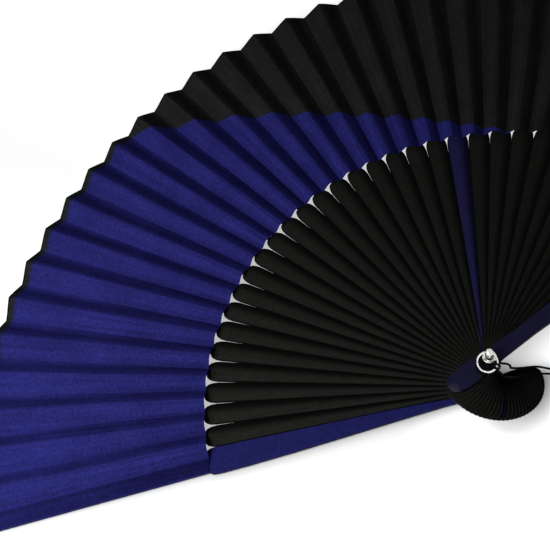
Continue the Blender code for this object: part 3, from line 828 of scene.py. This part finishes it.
def crease(kind, index, radius):
    """A point on one line of the leaf: its cut edges lie on the guards, its creases are radial."""
    if kind == "edge":
        side = guard_half_width(radius) - LEAF_SIDE_INSET
        height = LEAF_LOW if index == 0 else LEAF_HIGH
        turn = Matrix.Rotation(stick_angle(index), 3, "Z")
        return turn @ Vector((radius, side if index == 0 else -side, height))
    angle, lean = crease_angle(kind, index)
    height = valley_height(index, radius) + LEAN_RISE * max(0.0, lean) * radius
    if kind == "mountain":
        height += PLEAT_SLOPE * radius
    return Vector((radius * math.cos(angle), radius * math.sin(angle), height))


def inner_radius(kind, index):
    """Where a line of the leaf starts: the cloth is drawn further in towards the front guard."""
    if kind == "edge":
        return INNER_RADII[kind]
    share = min(1.0, max(0.0, (index - DRAWN_RIBS[0]) / (DRAWN_RIBS[1] - DRAWN_RIBS[0])))
    return INNER_RADII[kind] - INNER_DRAW * share * share


def crest_share(radius):
    """Share of a rising panel's width that its crest strip takes at this radius."""
    along = max(0.0, (radius - LEAF_INNER_RADIUS) / (LEAF_OUTER_RADIUS - LEAF_INNER_RADIUS))
    width = max(CREST_LEAST_WIDTH, CREST_WIDTH * (1 - along / CREST_END_SHARE))
    return width / (radius * PANEL_ANGLE)


def rising_profile(radius):
    """Pairs of a share of the way from valley to mountain and the cloth's lift there."""
    start = 1 - crest_share(radius)
    full = PLEAT_SLOPE * radius * (1 - start) * CREST_LIFT_SHARE
    seam = SEAM_WIDTH / (radius * PANEL_ANGLE)
    depth = SEAM_DEPTH * min(1.0, (1 - start) * radius * PANEL_ANGLE / CREST_WIDTH)
    body = [(share, share * full - SWELL * math.sin(2 * math.pi * share)) for share in RISING_SHARES]
    return body + [
        (start - seam, full * (start - seam)), (start, full - depth), (start + seam, full * (1 - seam)),
        (0.5 + start / 2, full / 2 + CREST_FULLNESS),
        (CREST_TURN_SHARE, CREST_TURN_LIFT_SHARE * full), (1.0, 0.0),
    ]


def falling_profile(_):
    """Such pairs from mountain to valley, the same at every radius."""
    return [(share, ROLL * math.sin(math.pi * share ** ROLL_BIAS)) for share in FALLING_SHARES]


def flat_profile(_):
    """Such pairs for the cloth that is glued to a guard."""
    return [(column / FLAT_COLUMNS, 0.0) for column in range(FLAT_COLUMNS + 1)]


def sheet_faces(columns):
    """Closes a sheet round its upper points, given row by row, and then as many lower ones."""
    count = (LEAF_ROWS + 1) * columns
    faces = []
    for row in range(LEAF_ROWS):
        for column in range(columns - 1):
            a = row * columns + column
            b, c, d = a + 1, a + columns + 1, a + columns
            faces.append((a, b, c, d))
            faces.append((count + d, count + c, count + b, count + a))
    rim = list(range(columns))
    rim += [row * columns + columns - 1 for row in range(1, LEAF_ROWS + 1)]
    rim += [LEAF_ROWS * columns + column for column in range(columns - 2, -1, -1)]
    rim += [row * columns for row in range(LEAF_ROWS - 1, 0, -1)]
    for i, a in enumerate(rim):
        b = rim[(i + 1) % len(rim)]
        faces.append((b, a, count + a, count + b))
    return faces


def panel(name, first, second, profile, seed, material):
    """Thin closed sheet between two lines of the leaf, given as (kind, index)."""
    upper, uvs, places = [], [], []
    low, high = FOLD_HEIGHTS[first[0]], FOLD_HEIGHTS[second[0]]
    side = 1 if first[0] == "valley" else -1
    for row in range(LEAF_ROWS + 1):
        along = row / LEAF_ROWS
        from_radius, to_radius = (
            inner_radius(*line) + (LEAF_OUTER_RADIUS - inner_radius(*line)) * along
            for line in (first, second))
        start, end = crease(*first, from_radius), crease(*second, to_radius)
        radius = (from_radius + to_radius) / 2
        for share, lift in profile(radius):
            point = start.lerp(end, share)
            wave = sum(math.sin(pitch * radius / MM + shift * seed) for pitch, shift in RIPPLE_WAVES)
            point.z += lift + RIPPLE / 2 * wave * math.sin(math.pi * share)
            upper.append(point)
            here = from_radius + (to_radius - from_radius) * share
            uvs.append(flat_place(math.atan2(point.y, point.x), here))
            places.append((side * (low + (high - low) * share), radius))
    down = Vector((0, 0, CLOTH_THICKNESS))
    lower = [point - down for point in upper]
    faces = sheet_faces(len(profile(LEAF_OUTER_RADIUS)))
    item = mesh_object(name, upper + lower, faces, material, uvs + uvs, "flat_cut")
    add_uvs(item.data, "fold_place", places + places)
    item.data.set_sharp_from_angle(angle=LEAF_SHARP_ANGLE)
    return item


def declare_panel(first, second):
    """Works out the outer and inner widths of the panel, a slice of a ring when flat, but hands them to
    nothing.
    """
    start = (inner_radius(*first) + inner_radius(*second)) / 2
    width = (crease(*first, LEAF_OUTER_RADIUS) - crease(*second, LEAF_OUTER_RADIUS)).length
    inner = (crease(*first, start) - crease(*second, start)).length


def spread_turn(item, index):
    """A rising panel would turn with its own stick at its mountain and with the stick before at its valley;
    here its place is only baked into its mesh, and the angles found for that are not used.
    """
    angle, _ = crease_angle("mountain", index)
    valley_angle, _ = crease_angle("valley", index)
    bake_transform(item)


def add_leaf(material, glued):
    fallen = panel("silk_falling_00", ("edge", 0), ("valley", 1), flat_profile, 0, glued)
    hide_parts("silk_leaf")
    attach(fallen, "rear_guard")
    declare_panel(("edge", 0), ("valley", 1))
    for index in range(1, LAST_STICK + 1):
        mountain, valley = ("mountain", index), ("valley", index)
        rising = panel("silk_rising_%02d" % index, valley, mountain, rising_profile, index, material)
        declare_panel(valley, mountain)
        spread_turn(rising, index)

        end, profile, cloth = ("valley", index + 1), falling_profile, material
        if index == LAST_STICK:
            end, profile, cloth = ("edge", LAST_STICK), flat_profile, glued
        falling = panel("silk_falling_%02d" % index, mountain, end, profile, index + FALLING_SEED, cloth)
        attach(falling, stick_body(index))
        declare_panel(mountain, end)


# Sticks and rivet

def dress(names, material, bevel=0.0):
    for name in names:
        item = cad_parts[name]
        item.data.materials.clear()
        item.data.materials.append(material)
        if bevel:
            modifier = item.modifiers.new("soft_edge", "BEVEL")
            modifier.width = bevel
            modifier.segments = 2
            modifier.limit_method = "ANGLE"
            modifier.angle_limit = BEVEL_ANGLE


def add_sticks():
    black = stick_material(
        "black_bamboo_fibres", RIB_BLACK, RIB_BLACK_WORN, roughness=0.60, specular=0.015, spread=0.35)
    # The ribs get painted shade over their faces and from rib to rib
    recolour(black, lambda tree, colour: painted_rib_shade(tree, colour, RIB_BLACK_HEAD_SHADE))
    blue = stick_material(
        "blue_bamboo_fibres", RIB_BLUE, RIB_BLUE_WORN, roughness=0.55, specular=0.02, spread=0.25)
    recolour(blue, lambda tree, colour: painted_rib_shade(tree, colour, RIB_BLUE_HEAD_SHADE))
    lacquer = stick_material(
        "blue_lacquer_fibres", GUARD_BLUE, GUARD_BLUE_WORN, roughness=0.42, specular=0.04, spread=0.30)
    recolour(lacquer, painted_side_shade)
    dark_lacquer = stick_material(
        "dark_lacquer_fibres", FRONT_GUARD_BLUE, FRONT_GUARD_WORN, roughness=0.40, specular=0.05, spread=0.30)
    # A darker spot under the ring, a painted highlight at the tail's end, and painted shade on the thin sides
    for change in (darker_near_ring, painted_tail_highlight, painted_side_shade):
        recolour(dark_lacquer, change)
    dress([stick_body(index) for index in range(1, LAST_STICK) if index != ACCENT_RIB], black, RIB_BEVEL)
    dress([stick_body(ACCENT_RIB)], blue, RIB_BEVEL)
    dress(["rear_guard"], lacquer, GUARD_BEVEL)
    dress(["front_guard"], dark_lacquer, GUARD_BEVEL)
    dress(["rivet_pin", "rivet_collar", "rivet_knob", "bail_ring"], steel_material())


# Surroundings

def add_camera():
    data = bpy.data.cameras.new("camera")
    data.lens = CAMERA_LENS_MM
    data.sensor_width = CAMERA_SENSOR_MM
    data.clip_start, data.clip_end = CAMERA_CLIP
    camera = bpy.data.objects.new("camera", data)
    bpy.context.scene.collection.objects.link(camera)
    camera.location = CAMERA_PLACE
    aim = (CAMERA_TARGET - CAMERA_PLACE).to_track_quat("-Z", "Y")
    camera.rotation_mode = "QUATERNION"
    camera.rotation_quaternion = aim @ Quaternion((0, 0, 1), CAMERA_ROLL)
    bpy.context.scene.camera = camera


def seen_share(tree):
    """1 for what the camera, metal or glass sees directly, 0 for light on the object."""
    path = tree.nodes.new("ShaderNodeLightPath")
    share = maths(tree, "MAXIMUM", path.outputs["Is Camera Ray"], path.outputs["Is Glossy Ray"])
    return maths(tree, "MAXIMUM", share, path.outputs["Is Transmission Ray"])


def add_world():
    world = bpy.data.worlds.new("studio")
    bpy.context.scene.world = world
    world.use_nodes = True
    tree = world.node_tree
    background = tree.nodes["Background"]
    background.inputs["Color"].default_value = (1.0, 1.0, 1.0, 1.0)
    tree.links.new(between(tree, seen_share(tree), WORLD_LIGHT, 1.0), background.inputs["Strength"])


def floor_fill(tree):
    """Light that the floor gives off by itself, less of it where the object stands over it."""
    place = object_place(tree)
    away = vector_maths(tree, "DISTANCE", place, tuple(LAMP_PLACE))
    lit = maths(tree, "DIVIDE", LAMP_GLOW, maths(tree, "POWER", away, LAMP_FALL_POWER))
    fill = maths(tree, "MAXIMUM", maths(tree, "SUBTRACT", FILL_FULL, lit), FILL_LEAST)
    past_front = (math.sin(FRONT_ANGLE), -math.cos(FRONT_ANGLE), 0.0)
    beyond = step_between(tree, vector_maths(tree, "DOT_PRODUCT", place, past_front), *FRONT_FILL_REACH)
    fill = maths(tree, "MULTIPLY_ADD", beyond, FRONT_FILL, fill)
    open_air = tree.nodes.new("ShaderNodeAmbientOcclusion")
    open_air.inputs["Distance"].default_value = FILL_SHUT_REACH
    near = maths(tree, "POWER", open_air.outputs["AO"], FILL_SHUT_POWER)
    past_rear = (-math.sin(REAR_ANGLE), math.cos(REAR_ANGLE), 0.0)
    inside = step_between(tree, vector_maths(tree, "DOT_PRODUCT", place, past_rear), *REAR_FILL_REACH)
    far = step_between(tree, vector_maths(tree, "LENGTH", place), *STACK_REACH)
    return maths(tree, "MULTIPLY", fill, maths(tree, "MAXIMUM", near, maths(tree, "MULTIPLY", far, inside)))


def add_floor():
    corners = [(x * FLOOR_REACH, y * FLOOR_REACH, 0) for x, y in ((-1, -1), (1, -1), (1, 1), (-1, 1))]
    mesh = bpy.data.meshes.new("floor")
    mesh.from_pydata(corners, [], [(0, 1, 2, 3)])
    floor = bpy.data.objects.new("floor", mesh)
    floor.location.z = -FLOOR_DROP
    bpy.context.scene.collection.objects.link(floor)
    material, tree, shader = new_material("pale_floor", roughness=0.9, specular=0.0)
    shader.inputs["Base Color"].default_value = (*FLOOR_WHITE, 1.0)
    shader.inputs["Emission Color"].default_value = (1.0, 1.0, 1.0, 1.0)
    strength = maths(tree, "MULTIPLY", seen_share(tree), floor_fill(tree))
    tree.links.new(strength, shader.inputs["Emission Strength"])
    mesh.materials.append(material)


def add_lamp():
    data = bpy.data.lights.new("key_lamp", "AREA")
    data.shape = "DISK"
    data.size = LAMP_SIZE
    data.energy = LAMP_WATTS
    lamp = bpy.data.objects.new("key_lamp", data)
    bpy.context.scene.collection.objects.link(lamp)
    lamp.location = LAMP_PLACE
    lamp.rotation_euler = (LAMP_AIM - LAMP_PLACE).to_track_quat("-Z", "Y").to_euler()


def main():
    add_camera()
    add_cord(cord_material())
    add_leaf(
        silk_material("silk_weave", shade=1.0, valley_light=VALLEY_LIGHT),
        silk_material("glued_silk", shade=GLUED_SHADE, valley_light=0.0))
    add_sticks()
    add_floor()
    add_world()
    add_lamp()
    bpy.context.scene.view_settings.view_transform = "Standard"


main()
